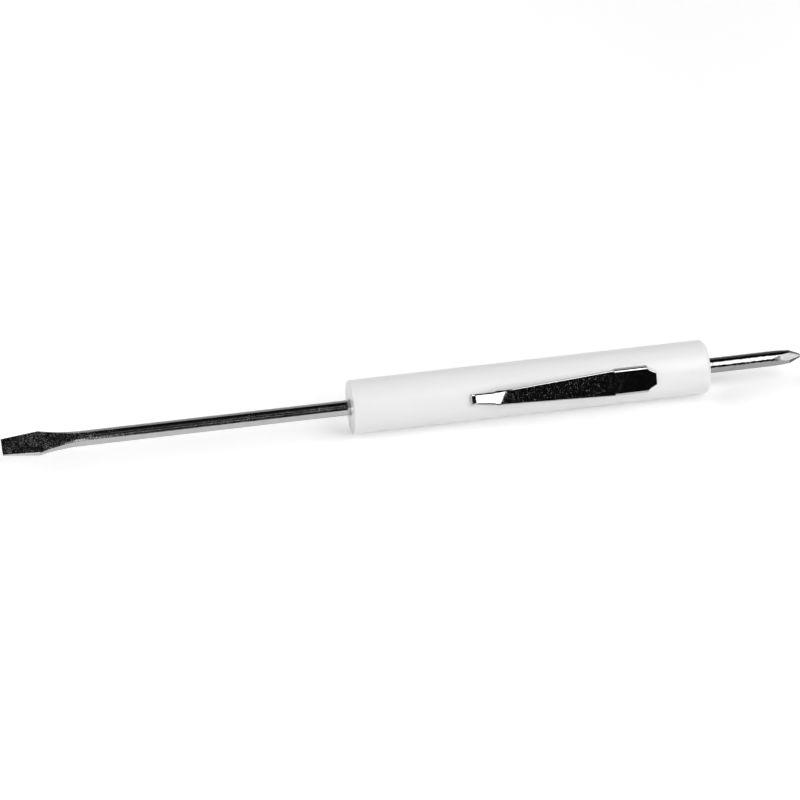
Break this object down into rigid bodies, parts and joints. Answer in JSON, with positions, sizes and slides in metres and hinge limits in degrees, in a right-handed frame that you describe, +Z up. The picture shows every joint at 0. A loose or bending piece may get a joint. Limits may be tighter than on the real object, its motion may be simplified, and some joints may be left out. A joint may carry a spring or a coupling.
{
  "type": "pocket screwdriver",
  "caption": "Double-ended pocket screwdriver: a plain round barrel with a long slotted blade, a short cross-point blade and a sprung steel pocket clip.",
  "frame": {"origin": "on the tool's axis, at the middle of the barrel's front face, where the slotted blade comes out", "axes": "+X along the axis from the slotted tip towards the cross-point tip, +Z up with the barrel lying on a table, the clip on the -Y side and facing 25 degrees above level"},
  "size_m": [0.165, 0.0128, 0.011],
  "materials": {
    "barrel_plastic": "gloss",
    "blade_steel": "polished",
    "clip_steel": "satin"
  },
  "bodies": {
    "handle": {"barrel": "barrel_plastic", "slotted_blade": "blade_steel", "phillips_blade": "blade_steel", "clip_base": "clip_steel"},
    "clip": {"clip_arm": "clip_steel"}
  },
  "joints": [
    {"name": "clip_flex", "type": "hinge", "parent": "handle", "child": "clip", "pos_m": [0.0536, -0.00526, 0.00245], "axis": [0, 0.4226, 0.9063], "range_deg": [0, 6], "stiffness_Nm_per_rad": 0.66, "springref_deg": -2.86}
  ]
}
